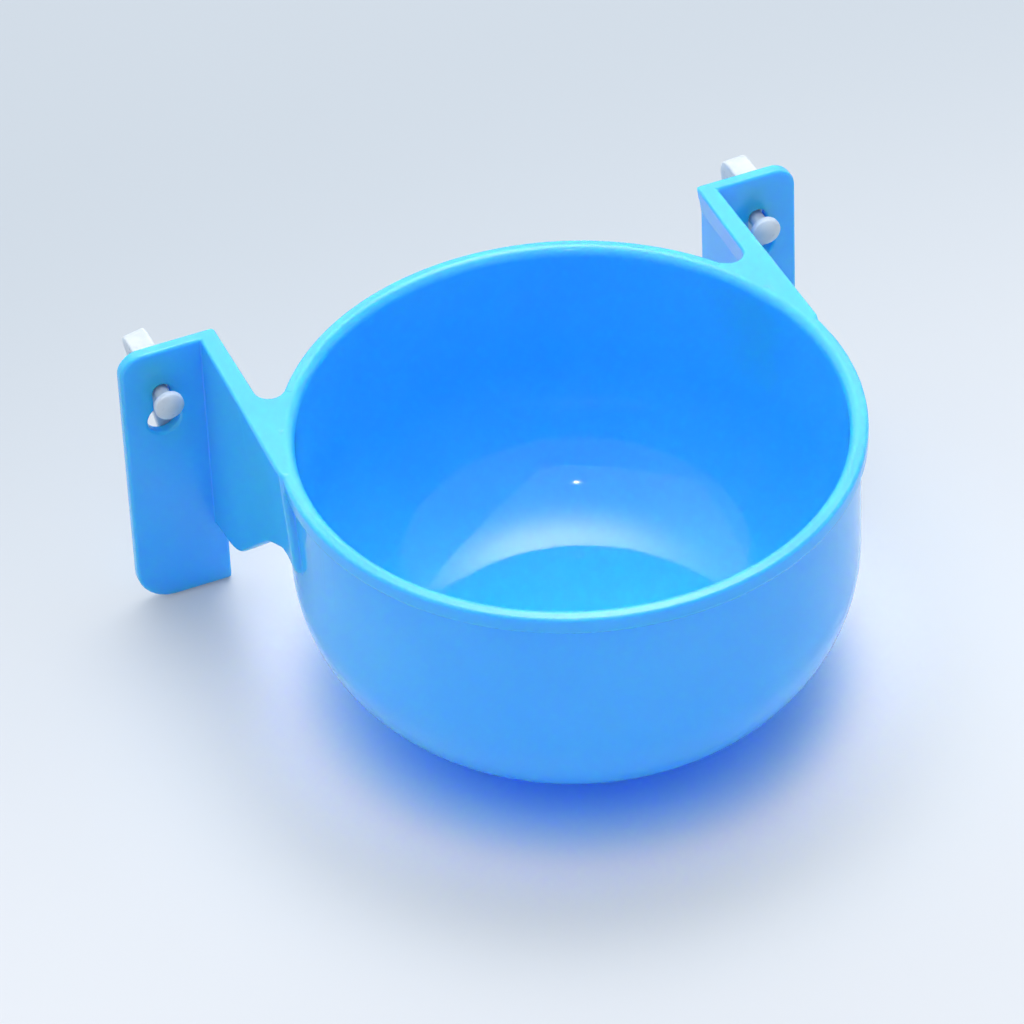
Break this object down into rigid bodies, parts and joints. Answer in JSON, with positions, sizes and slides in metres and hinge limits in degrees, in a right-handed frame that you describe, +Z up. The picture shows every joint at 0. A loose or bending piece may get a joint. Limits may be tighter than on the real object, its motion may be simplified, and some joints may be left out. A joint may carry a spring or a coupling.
{
  "type": "seed cup",
  "caption": "Round plastic bird seed cup with a turned-out rim, two rear mounting wings with keyholes, and white wire hooks that turn in them.",
  "frame": {"origin": "on the bowl's axis, in the plane of the foot ring's underside", "axes": "+Z up out of the bowl's mouth, +Y towards the cage that the back plates hang on, +X to the right seen from in front of the bowl"},
  "size_m": [0.1146, 0.0976, 0.05],
  "materials": {
    "cup_plastic": "glossy sky-blue moulded plastic",
    "hook_plastic": "milky, slightly translucent white moulded plastic"
  },
  "bodies": {
    "cup": {"seed_cup": "cup_plastic"},
    "left_hook": {"left_hook": "hook_plastic"},
    "right_hook": {"right_hook": "hook_plastic"}
  },
  "joints": [
    {"name": "left_hook_swivel", "type": "hinge", "parent": "cup", "child": "left_hook", "pos_m": [-0.05073, 0.045, 0.0414], "axis": [0, 1, 0], "continuous": true},
    {"name": "right_hook_swivel", "type": "hinge", "parent": "cup", "child": "right_hook", "pos_m": [0.05073, 0.045, 0.0412], "axis": [0, 1, 0], "continuous": true}
  ]
}
